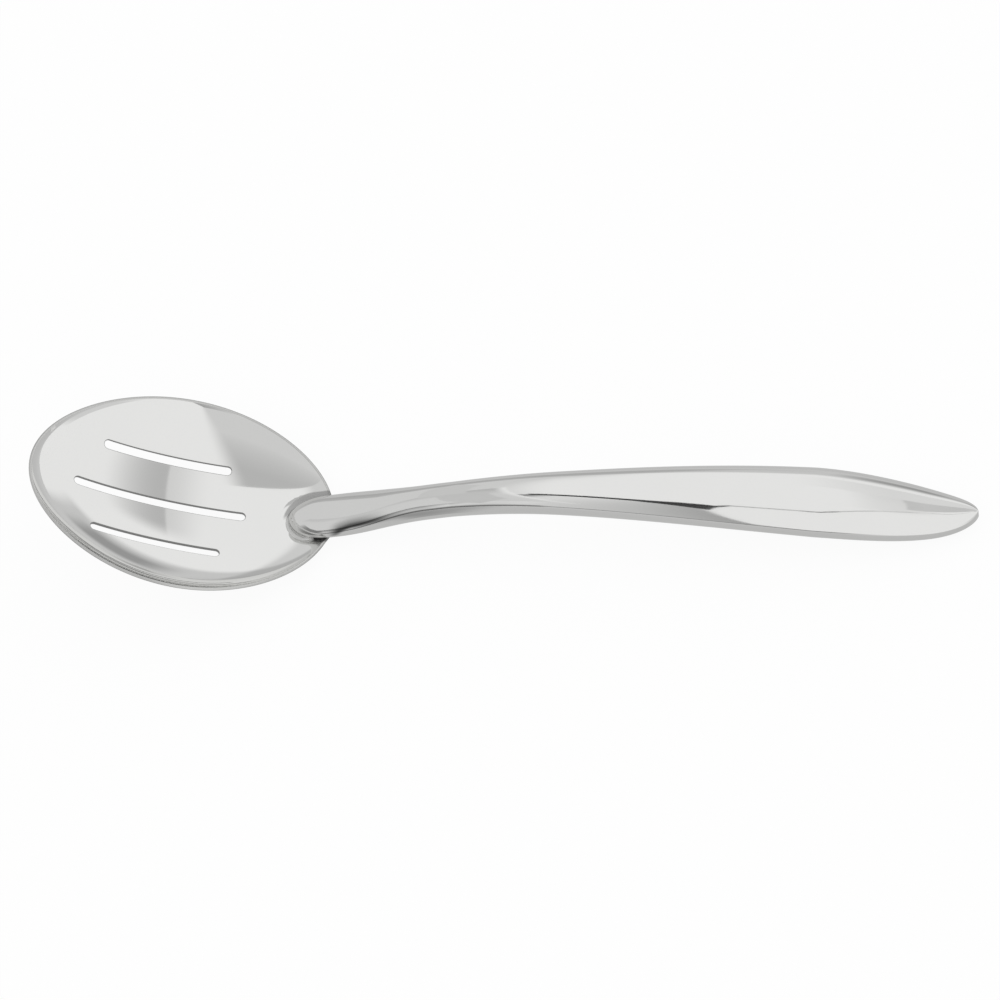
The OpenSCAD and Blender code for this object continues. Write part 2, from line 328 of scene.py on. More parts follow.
def half_thickness(x, half):
    grown = ease(x, RIM_NECK_X - NOSE_REACH / 2, place(NECK_PLACE))
    slim = mix(half.root, NECK_THICKNESS / 2, grown)
    full = mix(slim, half.palm, ease(x, place(WIDENING_PLACE), place(PALM_PLACE)))
    return BLUNT_HEIGHT + (full - BLUNT_HEIGHT) * quarter((x - NOSE_X) / NOSE_SWELL) * end_round(x)


SEAM_PLACES = [
    (NOSE_X, *SEAM_NOSE),
    (place(ROOT_PLACE), *SEAM_ROOT),
    (place(CREST_PLACE), *SEAM_CREST),
    (place(PALM_PLACE), *SEAM_PALM),
    (place(TAIL_PLACE), *SEAM_TAIL),
    (END_X, *SEAM_END),
]


def seam_height(x):
    """Height of the handle's seam: smooth curves through named places."""
    height = np.zeros_like(x)
    for (x0, h0, s0), (x1, h1, s1) in zip(SEAM_PLACES, SEAM_PLACES[1:]):
        run = x1 - x0
        leave, arrive = run * math.tan(s0 * DEG), run * math.tan(s1 * DEG)
        height = np.where(x >= x0, hermite((x - x0) / run, h0, leave, h1, arrive), height)
    return height


def handle_point(x, turn, half):
    """Point of the handle's outer face; turn runs from one seam at 0 to the other at pi."""
    return np.stack([
        x - MIDDLE_X,
        half_width(x) * np.cos(turn),
        seam_height(x) + half.up * half_thickness(x, half) * np.sin(turn),
    ], -1)


def outer_normal(x, turn, half):
    """Normal of the handle's outer face, from slopes along it and round it."""
    inside = np.clip(x, NOSE_X + 2 * HANDLE_STEP, END_X - 2 * HANDLE_STEP)
    along = handle_point(inside + HANDLE_STEP, turn, half) - handle_point(inside - HANDLE_STEP, turn, half)
    across = np.stack([
        np.zeros_like(x),
        -half_width(inside) * np.sin(turn),
        half.up * half_thickness(inside, half) * np.cos(turn),
    ], -1)
    normal = unit(np.cross(across, along))
    outward = np.stack([np.zeros_like(x), np.cos(turn), half.up * np.sin(turn)], -1)
    flip = np.where((normal * outward).sum(-1) < 0, -1, 1)
    return normal * flip[..., None]


def handle_steps():
    """Places along the handle, closer together at both ends."""
    return mix(NOSE_X, END_X, (1 - np.cos(np.pi * shares(LENGTH_STEPS))) / 2)


def groove_turn(x, half):
    """Turn at which the outer face meets the weld along the seam."""
    rise = GROOVE_DEPTH / np.maximum(half_thickness(x, half), GROOVE_DEPTH)
    return np.arcsin(np.clip(rise, 0, 1)) * GROOVE_OPENING


def groove_root(x, side):
    """Bottom of the weld's groove, on one side of the handle."""
    root_x = np.clip(x, NOSE_X + GROOVE_DEPTH, END_X - GROOVE_DEPTH)
    root_width = np.maximum(0, half_width(root_x) - GROOVE_DEPTH)
    return np.stack([root_x - MIDDLE_X, side * root_width, seam_height(root_x)], -1)


def handle_underside(x, y):
    """Height of the handle's lower face over a place in the table's plane, or a high value."""
    absolute = x + MIDDLE_X
    inside = (absolute > NOSE_X) & (absolute < END_X)
    width = np.where(inside, half_width(absolute), 0)
    share = np.abs(y) / np.maximum(width, TINY)
    depth = half_thickness(absolute, BELLY) * np.sqrt(np.maximum(0, 1 - np.minimum(share, 1) ** 2))
    return np.where((width > 0) & (share < 1), seam_height(absolute) - depth, FAR_ABOVE)


def cut_to_handle(points):
    """The sheet where the handle's belly is let into it."""
    points = points.copy()
    points[:, 2] = np.minimum(points[:, 2], handle_underside(points[:, 0], points[:, 1]))
    return points


# Meshes
def skin(name, points, faces, normals, is_smooth):
    """Mesh in metres. Faces that have only smooth points get exact normals, and Blender sets the rest."""
    corner_normals = []
    for f in faces:
        whole = all(is_smooth[v] for v in f)
        corner_normals += [normals[v].tolist() if whole else (0, 0, 0) for v in f]
    mesh = bpy.data.meshes.new(name)
    mesh.from_pydata((points * MM).tolist(), [], faces)
    mesh.polygons.foreach_set("use_smooth", [True] * len(mesh.polygons))
    mesh.normals_split_custom_set(corner_normals)
    mesh.validate()
    mesh.update()
    piece = bpy.data.objects.new(name, mesh)
    bpy.context.scene.collection.objects.link(piece)
    return piece


def skin_faces(rings, size, looped=False):
    """Faces between rings of equally many points, which follow each other in the list of points."""
    faces = []
    last = rings if looped else rings - 1
    for i in range(last):
        k = (i + 1) % rings
        for j in range(size):
            n = (j + 1) % size
            faces.append((i * size + j, i * size + n, k * size + n, k * size + j))
    return faces


def clean_faces(points, faces):
    """Leaves out the corners that fall together at a rounded end."""
    kept = []
    for f in faces:
        ring = []
        for v in f:
            if not ring or np.linalg.norm(points[v] - points[ring[-1]]) > CORNER_DISTANCE:
                ring.append(v)
        if len(ring) > 1 and np.linalg.norm(points[ring[0]] - points[ring[-1]]) <= CORNER_DISTANCE:
            ring.pop()
        if len(ring) > 2:
            kept.append(tuple(ring))
    return kept


def facing_out(points, faces):
    """The faces of a closed skin, all turned to face outwards."""
    volume = 0
    for f in faces:
        for b, c in zip(f[1:], f[2:]):
            volume += points[f[0]] @ np.cross(points[b], points[c])
    return faces if volume > 0 else [f[::-1] for f in faces]


def facing_along(points, faces, normals):
    """The faces, each turned to face the way its normals point."""
    turned = []
    for f in faces:
        a, b, c = points[f[0]], points[f[1]], points[f[2]]
        facing = np.cross(b - a, c - a) @ normals[list(f)].mean(0)
        turned.append(f if facing > 0 else f[::-1])
    return turned


# The bowl's borders: places round the rim or a slot, the way from each into the open, the edge's rounding,
# the rows of faces beside it and the kind of its own faces
Border = namedtuple("Border", "loop out rounding rows kind")


def rim_loop():
    """Places round the rim, and the way from each into the open."""
    turn = 2 * np.pi * np.arange(RIM_COUNT) / RIM_COUNT
    p, q = np.cos(turn), np.sin(turn)
    loop = np.stack([BOWL_HALF * p, plan_y(p, q)], -1)
    run = np.roll(loop, -1, 0) - np.roll(loop, 1, 0)
    return loop, unit(np.stack([run[:, 1], -run[:, 0]], -1))


def slot_loop(length, shift, offset):
    """Places round a slot, and the way from each into the open."""
    radius = SLOT_WIDTH / 2
    straight = length / 2 - radius
    run = np.linspace(-straight, straight, int(2 * straight / SLOT_SPACING) + 1)[1:-1]
    arc = np.linspace(-90, 90, SLOT_END_STEPS + 1) * DEG
    end = np.stack([np.cos(arc), np.sin(arc)], -1)
    right = np.array([straight, 0]) + radius * end
    top = np.stack([run[::-1], np.full(len(run), radius)], -1)
    up = np.tile([0.0, 1.0], (len(run), 1))
    loop = np.concatenate([right, top, -right, -top])
    out = np.concatenate([end, up, -end, -up])
    return loop + np.array([-shift, offset]), -out


def slots():
    """Length, shift and offset of each slot at the sheet's underside."""
    length, shift, pitch = SIDE_SLOT
    return [MIDDLE_SLOT] + [(length, shift, side * (pitch + SIDE_SLOT_LEAN)) for side in (-1, 1)]


def slot_gap(x, y, slot):
    """Distance from a place to a slot's edge, negative inside it."""
    length, shift, offset = slot
    straight = length / 2 - SLOT_WIDTH / 2
    away = np.maximum(0, np.abs(x + shift) - straight)
    return np.hypot(away, y - offset) - SLOT_WIDTH / 2


def edge_profile(rounding, rows):
    """Set-back, height and lean of each row of an edge, from the upper face round to the lower one."""
    upper = [(setback, SHEET, 0) for setback in rows[::-1]]
    for lean in np.linspace(0, 90, EDGE_STEPS + 1) * DEG:
        upper.append((rounding * (1 - math.sin(lean)), SHEET - rounding * (1 - math.cos(lean)), lean))
    return upper + [(setback, SHEET - height, math.pi - lean) for setback, height, lean in upper[::-1]]


def edge_row(border, setback, height, lean):
    """Points and normals of one row of an edge."""
    x, y = (border.loop - setback * border.out).T
    level = np.full(len(x), height)
    along_x, along_y, up = sheet_frame(x, y, level)
    side = unit(along_x * border.out[:, :1] + along_y * border.out[:, 1:])
    side = unit(side - up * (side * up).sum(-1, keepdims=True))
    return cut_to_handle(sheet(x, y, level)), math.cos(lean) * up + math.sin(lean) * side


def even_field():
    """Even field of places inside the rows beside the rim and the slots."""
    rows = np.arange(-BOWL_WIDTH / 2, BOWL_WIDTH / 2, FIELD_SPACING * math.sqrt(3) / 2)
    field = np.array([
        (x + FIELD_SPACING / 2 * (k % 2), y)
        for k, y in enumerate(rows)
        for x in np.arange(-BOWL_HALF, BOWL_HALF, FIELD_SPACING)
    ])
    x, y = field.T
    keep = np.hypot(*disc_place(x, y)) < 1 - FIELD_RIM_GAP * RIM_ROWS[-1] / BOWL_SIDE
    for slot in slots():
        keep &= slot_gap(x, y, slot) > FIELD_SLOT_GAP
    return field[keep]


def triangulated(borders):
    """Places and triangles of the flat sheet between its borders, and the places along each border."""
    flat, edges, starts = [], [], []
    for border in borders:
        start = sum(len(places) for places in flat)
        count = len(border.loop)
        starts.append(start)
        flat.append(border.loop - max(border.rows, default=border.rounding) * border.out)
        edges += [(start + k, start + (k + 1) % count) for k in range(count)]
    for border in borders[1:]:
        flat += [border.loop - setback * border.out for setback in SLOT_ROWS]
    flat = np.concatenate(flat + [even_field()])
    found, _, triangles, sources, _, _ = delaunay_2d_cdt(
        [Vector(v) for v in flat], edges, [], INSIDE_ONLY, MERGE_DISTANCE
    )
    places = np.array([flat[ids[0]] if ids else tuple(v) for v, ids in zip(found, sources)])
    number = {source: k for k, ids in enumerate(sources) for source in ids}
    rows = [
        [number[start + k] for k in range(len(border.loop))]
        for start, border in zip(starts, borders)
    ]
    x, y = places[np.array(triangles)].mean(1).T
    is_open = np.any([slot_gap(x, y, slot) < SLOT_ROUND for slot in slots()], axis=0)
    kept = [tuple(t) for t, in_slot in zip(triangles, is_open) if not in_slot]
    return places, kept, rows


def edge_kind(border, start, end):
    """Kind of the faces between two rows of an edge: its own where both lie in its rounding."""
    if max(start[0], end[0]) <= border.rounding:
        return border.kind
    return TOP_FACE if start[1] > 0 else UNDER_FACE


def bowl_piece():
    """One closed sheet: a triangulated face above and below, and rounded edges between them."""
    borders = [Border(*rim_loop(), RIM_ROUND, RIM_ROWS, RIM_FACE)]
    borders += [Border(*slot_loop(*slot), SLOT_ROUND, (), SLOT_FACE) for slot in slots()]
    places, triangles, first_rows = triangulated(borders)
    x, y = places.T
    count = len(places)
    top, bottom = np.full(count, SHEET), np.zeros(count)
    points = [cut_to_handle(sheet(x, y, top)), sheet(x, y, bottom)]
    normals = [sheet_frame(x, y, top)[2], -sheet_frame(x, y, bottom)[2]]
    faces = triangles + [(a + count, c + count, b + count) for a, b, c in triangles]
    kinds = [TOP_FACE] * len(triangles) + [UNDER_FACE] * len(triangles)
    total = 2 * count
    for border, first_row in zip(borders, first_rows):
        profile = edge_profile(border.rounding, border.rows)
        size = len(first_row)
        rows = [first_row]
        for setback, height, lean in profile[1:-1]:
            row, row_normals = edge_row(border, setback, height, lean)
            points.append(row)
            normals.append(row_normals)
            rows.append(range(total, total + size))
            total += size
        rows.append([v + count for v in first_row])
        for a, b, start, end in zip(rows, rows[1:], profile, profile[1:]):
            faces += [(a[k], b[k], b[(k + 1) % size], a[(k + 1) % size]) for k in range(size)]
            kinds += [edge_kind(border, start, end)] * size
    points = np.concatenate(points)
    normals = np.concatenate(normals)
    faces = facing_along(points, faces, normals)
    piece = skin("bowl_skin", points, faces, normals, [True] * len(points))
    piece.data.polygons.foreach_set("material_index", kinds)
    return piece


# The handle's pieces
def inner_face(x, half):
    """Points of a shell's inner face, from the second seam back to the first."""
    wall_x = np.clip(x, NOSE_X + SHELL_WALL, END_X - SHELL_WALL)
    turn = np.pi * (1 - shares(INNER_STEPS))
    width = np.maximum(0, half_width(wall_x) - SHELL_WALL)
    depth = np.maximum(0, half_thickness(wall_x, half) - SHELL_WALL)
    return np.stack([
        np.repeat(wall_x[:, None] - MIDDLE_X, INNER_STEPS + 1, 1),
        width[:, None] * np.cos(turn),
        seam_height(wall_x)[:, None] + half.up * depth[:, None] * np.sin(turn),
    ], -1)


def shell_piece(name, half):
    """One half of the hollow handle: outer face, weld groove and inner face."""
    x = handle_steps()
    xs = np.repeat(x[:, None], ARC_STEPS + 1, 1)
    start = groove_turn(x, half)[:, None]
    turns = start + (np.pi - 2 * start) * shares(ARC_STEPS)
    left_root, right_root = [groove_root(x, side)[:, None, :] for side in (-1, 1)]
    ring = np.concatenate([handle_point(xs, turns, half), left_root, inner_face(x, half), right_root], 1)
    normals = np.zeros_like(ring)
    normals[:, :ARC_STEPS + 1] = outer_normal(xs, turns, half)
    size = ring.shape[1]
    points = ring.reshape(-1, 3)
    faces = facing_out(points, clean_faces(points, skin_faces(len(x), size)))
    is_outer = (np.arange(len(points)) % size) <= ARC_STEPS
    return skin(name, points, faces, normals.reshape(-1, 3), is_outer)


def seam_weld_side(x, side):
    """One side of the seam's weld: its face from the upper shell to the lower one, and its root."""
    rows = []
    for half, steps in ((CROWN, range(SEAM_STEPS, 0, -1)), (BELLY, range(SEAM_STEPS + 1))):
        for k in steps:
            turn = groove_turn(x, half) * k / SEAM_STEPS
            turn = turn if side > 0 else np.pi - turn
            rows.append((handle_point(x, turn, half), outer_normal(x, turn, half)))
    rows.append((groove_root(x, side), np.zeros((len(x), 3))))
    points, normals = zip(*rows)
    return np.stack(points, 1), np.stack(normals, 1)


def seam_weld_piece():
    """The weld that fills the groove, ground flush with the handle's outer face."""
    x = handle_steps()
    right, right_normals = seam_weld_side(x, 1)
    left, left_normals = seam_weld_side(x, -1)
    ring = np.concatenate([right, left[-2:0:-1]], 0)
    normals = np.concatenate([right_normals, left_normals[-2:0:-1]], 0).reshape(-1, 3)
    size = ring.shape[1]
    points = ring.reshape(-1, 3)
    faces = facing_out(points, clean_faces(points, skin_faces(len(ring), size, looped=True)))
    is_outer = (np.arange(len(points)) % size) < size - 1
    return skin("handle_seam_weld_skin", points, faces, normals, is_outer)


def bead_edges(x):
    """Where the bead leaves the handle, where its foot meets the sheet, and the sheet's slope there."""
    fading = ease(x, NOSE_X + BEAD_REACH - BEAD_FADE, NOSE_X + BEAD_REACH)
    leg = BEAD_LEG * (1 - BEAD_TAPER * fading)
    wall = handle_point(x, mix(BEAD_TOP_TURN, BEAD_END_TURN, fading) * DEG, BELLY)
    widening = half_width(x + SHEET_STEP) - half_width(x)
    run = unit(np.stack([np.full(len(x), SHEET_STEP), widening], -1))
    out = np.stack([-run[:, 1], run[:, 0], 0 * x], -1)
    foot = wall + out * leg[:, None]
    beyond = foot + out * BEAD_PROBE
    for row in (foot, beyond):
        row[:, 2] = sheet_top(row[:, 0], row[:, 1]) + BEAD_CLEARANCE
    return wall, foot, unit(beyond - foot)


def bead_half(x):
    """Points of the bead on one side of the nose, and the normals of its open face."""
    wall, foot, slope = bead_edges(x)
    size = np.linalg.norm(foot - wall, axis=-1)[:, None]
    down = np.array([0, 0, -1])
    rows = [hermite(share, wall, down * size, foot, slope * size) for share in shares(BEAD_ROWS)]
    root = handle_point(x, np.full(len(x), BEAD_ROOT_TURN * DEG), BELLY)
    deep = root.copy()
    deep[:, 2] = np.minimum(root[:, 2], foot[:, 2]) - BEAD_SINK
    ring = np.stack([*rows, foot + down * BEAD_SINK, deep, root], 1)
    normals = unit(np.cross(np.gradient(ring, axis=0), np.gradient(ring, axis=1)))
    normals *= np.where(normals[..., 2:] < 0, -1, 1)
    # Both sides meet at the nose with one normal
    normals[0, :, 1] = 0
    normals[:, BEAD_ROWS + 1:] = 0
    return ring, normals


def neck_weld_piece():
    """The bead round the handle's nose, ground to a smooth hollow that ends in the bowl's sheet."""
    half, half_normals = bead_half(NOSE_X + BEAD_REACH * shares(BEAD_STEPS) ** 2)
    mirror = np.array([1, -1, 1])
    ring = np.concatenate([half[::-1], (half * mirror)[1:]], 0)
    normals = np.concatenate([half_normals[::-1], (half_normals * mirror)[1:]], 0).reshape(-1, 3)
    size = ring.shape[1]
    points = ring.reshape(-1, 3)
    ends = [tuple(range(size))[::-1], tuple(range(len(points) - size, len(points)))]
    faces = facing_out(points, skin_faces(len(ring), size) + ends)
    is_open = (np.arange(len(points)) % size) <= BEAD_ROWS
    return skin("neck_weld_skin", points, faces, normals, is_open)


# Helpers for node trees
def link_value(tree, value, socket):
    """A number goes on the socket, and an output is linked to it."""
    if isinstance(value, (int, float)):
        socket.default_value = value
    else:
        tree.links.new(value, socket)


def calculate(tree, operation, a, b=0.0):
    node = tree.nodes.new("ShaderNodeMath")
    node.operation = operation
    link_value(tree, a, node.inputs[0])
    link_value(tree, b, node.inputs[1])
    return node.outputs[0]


def product(tree, factors):
    result = factors[0]
    for factor in factors[1:]:
        result = calculate(tree, "MULTIPLY", result, factor)
    return result


def mixed(tree, a, b, share):
    """Between two levels by a share from 0 to 1."""
    node = tree.nodes.new("ShaderNodeMix")
    node.data_type = "FLOAT"
    link_value(tree, a, node.inputs["A"])
    link_value(tree, b, node.inputs["B"])
    link_value(tree, share, node.inputs["Factor"])
    return node.outputs["Result"]


def dimmed(tree, level, mask, share):
    """The level, less its share where the mask is 1."""
    kept = calculate(tree, "SUBTRACT", 1.0, calculate(tree, "MULTIPLY", mask, share))
    return calculate(tree, "MULTIPLY", level, kept)


def ramp(tree, value, start, end, first, last):
    """Straight run from a first level at the start to a last one at the end."""
    node = tree.nodes.new("ShaderNodeMapRange")
    for socket, level in zip(("From Min", "From Max", "To Min", "To Max"), (start, end, first, last)):
        node.inputs[socket].default_value = level
    link_value(tree, value, node.inputs["Value"])
    return node.outputs["Result"]


def grade(tree, value, start, full):
    """Smooth step from 0 at the start to 1 where it is full, which may be the lower one."""
    levels = (0.0, 1.0) if full > start else (1.0, 0.0)
    result = ramp(tree, value, min(start, full), max(start, full), *levels)
    result.node.interpolation_type = "SMOOTHSTEP"
    return result


def edge(tree, value, span, base=0):
    """Smooth edge from the place where it starts to where it is full, in millimetres from a base."""
    start, full = [(base + distance) * MM for distance in span]
    return grade(tree, value, start, full)


def object_place(tree):
    return tree.nodes.new("ShaderNodeTexCoord").outputs["Object"]


def components(tree, vector):
    """The three parts of a vector."""
    split = tree.nodes.new("ShaderNodeSeparateXYZ")
    tree.links.new(vector, split.inputs[0])
    return list(split.outputs)


def noise(tree, vector, scale, detail):
    node = tree.nodes.new("ShaderNodeTexNoise")
    node.inputs["Scale"].default_value = scale
    node.inputs["Detail"].default_value = detail
    tree.links.new(vector, node.inputs["Vector"])
    return node.outputs["Fac"]


# Steel: buffing marks along the spoon, a soft bloom of wear, and how far both change the steel
STEEL_IOR = 2.5
MARK_SCALE = (60, 1400, 1400)  # per metre
MARK_DETAIL = 3
MARK_HEIGHT = 0.02
BLOOM_SCALE = 45  # per metre
BLOOM_DETAIL = 4
BLOOM_SHARE = 0.5
WEAR_SPAN = (0.3, 0.7)
WEAR_ROUGHNESS = (0.75, 1.3)
WEAR_TINT = (0.985, 1.012)
# Rougher steel with painted shade in the corners by the nose: share of light lost to the painted shade, and
# the roughness there
PAINTED_SHADE_LOSS = 0.45
DULL_ROUGHNESS = 0.42
# It lies beside the nose on its far side. Each edge has the places where it starts and where it is full,
# in millimetres from the middle of the nose's curve, the spoon's middle line or the bowl's rim
BESIDE_INNER = (7.6, 8.6)
BESIDE_OUTER = (11.8, 11.2)
BESIDE_MIDDLE = (0, 3)
BESIDE_RIM = (2, 0)
# It also lies in the gap under the nose in front, up to a height above the table
BELOW_NOSE = (-1, 2)
BELOW_RIM = (3, 0.5)
BELOW_FRONT = (-9.8, -9.2)
BELOW_BACK = (-6, -7.5)
BELOW_TOP = (5.6, 4.6)
# Painted shade on the slim part's near flank: places across it where it is darkest, at the bowl's rim
# and after each change along the handle. The edges that run along the handle are measured from the rim
FLANK_MIDDLES = (-8.4, -7, -5.8)
FLANK_CHANGES = ((-1, 9), (5, 28))
FLANK_START = (-1, 4)
FLANK_BELOW = (-0.9, -0.1)
# It has a wide part and a narrow one: the edge above the middle, the end along the handle and its share
FLANK_WIDE = ((3.5, 0.3), (24, 10), 0.6)
FLANK_NARROW = ((1.2, 0), (80, 30), 0.7)
# The narrow part is weaker beyond an edge
FLANK_WEAKER = (16, 26)
FLANK_WEAKNESS = 0.6


def dull_painted_shade(tree, where):
    """Share of rougher steel with painted shade: beside the nose on its far side, and in the gap under it in
    front.
    """
    x, y, z = components(tree, where)
    ahead = calculate(tree, "MAXIMUM", calculate(tree, "SUBTRACT", NOSE_MIDDLE * MM, x), 0.0)
    squares = [calculate(tree, "MULTIPLY", part, part) for part in (ahead, y)]
    away = calculate(tree, "SQRT", calculate(tree, "ADD", *squares))
    beside = product(tree, [
        edge(tree, away, BESIDE_INNER),
        edge(tree, away, BESIDE_OUTER),
        edge(tree, y, BESIDE_MIDDLE),
        edge(tree, x, BESIDE_RIM, RIM_PLACE),
    ])
    below = product(tree, [
        edge(tree, x, BELOW_NOSE, NOSE_MIDDLE),
        edge(tree, x, BELOW_RIM, RIM_PLACE),
        edge(tree, y, BELOW_FRONT),
        edge(tree, y, BELOW_BACK),
        edge(tree, z, BELOW_TOP),
    ])
    return calculate(tree, "MAXIMUM", beside, below)


def flank(tree, where):
    """Share of light left by the painted shade on the slim part's near flank, beside the bowl's dark gap."""
    x, y, _ = components(tree, where)
    middle = FLANK_MIDDLES[0] * MM
    for change, beyond in zip(FLANK_CHANGES, FLANK_MIDDLES[1:]):
        middle = mixed(tree, middle, beyond * MM, edge(tree, x, change, RIM_PLACE))
    away = calculate(tree, "SUBTRACT", y, middle)
    shade = product(tree, [edge(tree, x, FLANK_START, RIM_PLACE), edge(tree, away, FLANK_BELOW)])
    weaker = mixed(tree, 1.0, FLANK_WEAKNESS, edge(tree, x, FLANK_WEAKER, RIM_PLACE))
    left = 1.0
    for (above, end, share), strength in ((FLANK_WIDE, 1.0), (FLANK_NARROW, weaker)):
        mask = product(tree, [shade, edge(tree, away, above), strength, edge(tree, x, end, RIM_PLACE)])
        left = dimmed(tree, left, mask, share)
    return left


def tinted(tree, colour, share):
    """The colour, a little darker or lighter by a share from 0 to 1."""
    tint = tree.nodes.new("ShaderNodeMix")
    tint.data_type = "RGBA"
    for socket, change in zip("AB", WEAR_TINT):
        tint.inputs[socket].default_value = (*[c * change for c in colour], 1)
    tree.links.new(share, tint.inputs["Factor"])
    return tint.outputs["Result"]


def steel(name, colour, roughness, scratch, light=None, dull_shaded_corners=True):
    """Polished steel: faint buffing marks, a soft bloom of wear and, if asked, rougher places with painted
    shade by the nose.

    light is a function that gives the share of light left by painted shade at each place.
    """
    material = bpy.data.materials.new(name)
    material.use_nodes = True
    tree = material.node_tree
    nodes, links = tree.nodes, tree.links
    shader = nodes["Principled BSDF"]
    shader.inputs["Metallic"].default_value = 1
    shader.inputs["IOR"].default_value = STEEL_IOR
    where = object_place(tree)
    stretch = nodes.new("ShaderNodeMapping")
    stretch.inputs["Scale"].default_value = MARK_SCALE
    links.new(where, stretch.inputs["Vector"])
    marks = noise(tree, stretch.outputs["Vector"], 1, MARK_DETAIL)
    bloom = noise(tree, where, BLOOM_SCALE, BLOOM_DETAIL)
    wear = mixed(tree, marks, bloom, BLOOM_SHARE)
    rough = ramp(tree, wear, *WEAR_SPAN, *[roughness * change for change in WEAR_ROUGHNESS])
    # Painted shade, with rougher steel, in the corners beside the nose and in the gap under it
    dull_and_shaded = dull_painted_shade(tree, where) if dull_shaded_corners else 0.0
    bright = dimmed(tree, light(tree, where) if light else 1.0, dull_and_shaded, PAINTED_SHADE_LOSS)
    shaded = nodes.new("ShaderNodeVectorMath")
    shaded.operation = "SCALE"
    links.new(tinted(tree, colour, bloom), shaded.inputs[0])
    links.new(bright, shaded.inputs["Scale"])
    links.new(shaded.outputs["Vector"], shader.inputs["Base Color"])
    links.new(mixed(tree, rough, DULL_ROUGHNESS, dull_and_shaded), shader.inputs["Roughness"])
    bump = nodes.new("ShaderNodeBump")
    bump.inputs["Strength"].default_value = scratch
    bump.inputs["Distance"].default_value = MARK_HEIGHT * MM
    links.new(marks, bump.inputs["Height"])
    links.new(bump.outputs["Normal"], shader.inputs["Normal"])
    return material


BOWL_COLOUR = (0.765, 0.765, 0.755)
HANDLE_COLOUR = (0.76, 0.76, 0.75)
BOWL_STEEL = steel("bowl_steel", BOWL_COLOUR, roughness=0.045, scratch=0.01)
UNDER_STEEL = steel("under_steel", BOWL_COLOUR, roughness=0.045, scratch=0.01, dull_shaded_corners=False)
# Slot walls: rougher cut steel, with a dark colour that is painted shade in the slots
CUT_STEEL_PAINTED_SHADE = steel("cut_steel_painted_shade", (0.3, 0.3, 0.295), roughness=0.38, scratch=0.15)
RIM_STEEL = steel("rim_steel", (0.56, 0.56, 0.55), roughness=0.22, scratch=0.05)
HANDLE_STEEL = steel("handle_steel", HANDLE_COLOUR, roughness=0.07, scratch=0.04)
# The upper shell carries painted shade on the slim part's near flank
UPPER_STEEL = steel("upper_steel", HANDLE_COLOUR, roughness=0.07, scratch=0.04, light=flank)
WELD_STEEL = steel("weld_steel", (0.62, 0.62, 0.61), roughness=0.3, scratch=0.1)


def dress(piece, node, slot_name, *materials):
    """Gives a piece its materials, hangs it on the root body, and hides the solid that it replaces."""
    for material in materials:
        piece.data.materials.append(material)
    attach(piece, "root")
    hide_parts(node)


dress(bowl_piece(), "bowl", "bowl_steel", BOWL_STEEL, CUT_STEEL_PAINTED_SHADE, RIM_STEEL, UNDER_STEEL)
dress(shell_piece("handle_upper_skin", CROWN), "handle_upper_shell", "handle_steel", UPPER_STEEL)
dress(shell_piece("handle_lower_skin", BELLY), "handle_lower_shell", "handle_steel", HANDLE_STEEL)
dress(seam_weld_piece(), "handle_seam_weld", "weld_steel", HANDLE_STEEL)
dress(neck_weld_piece(), "neck_weld", "weld_steel", WELD_STEEL)

# Floor of the studio: half its side, and how far it lies below the spoon
FLOOR_HALF = 3
FLOOR_DROP = 0.0003
FLOOR_COLOUR = (0.9, 0.9, 0.9, 1)
# Shares of plain white in what the camera and the mirroring steel see of it
SEEN_WHITE = 0.92
MIRRORED_WHITE = 0.92
# Painted shade: level of the mirrored floor beside the spoon, where it is a painted shadow, and away from
# it, and where it changes
NEAR_PAINTED_SHADOW_LEVEL = 0.6
FAR_PAINTED_SHADE_LEVEL = 0.68
LEVEL_SPAN = (0.02, 0.4)

# Bar over the handle: x, y, width and level at each place of its route
BAR_HEIGHT = 0.12
BAR_ROUTE = [
    (-0.02, -0.035, 0.012, 0.06),
    (0.035, -0.041, 0.012, 0.06),
    (0.05, -0.044, 0.018, 0.06),
    (0.06, -0.046, 0.027, 0.06),
    (0.072, -0.05, 0.034, 0.06),
    (0.077, -0.04, 0.01, 0.06),
    (0.085, -0.028, 0.004, 0.5),
    (0.12, -0.022, 0.0035, 0.3),
    (0.135, -0.021, 0.0035, 0.06),
    (0.153, -0.011, 0.003, 0.5),
    (0.18, 0.009, 0.003, 0.6),
    (0.198, 0.021, 0.003, 0.6),
]

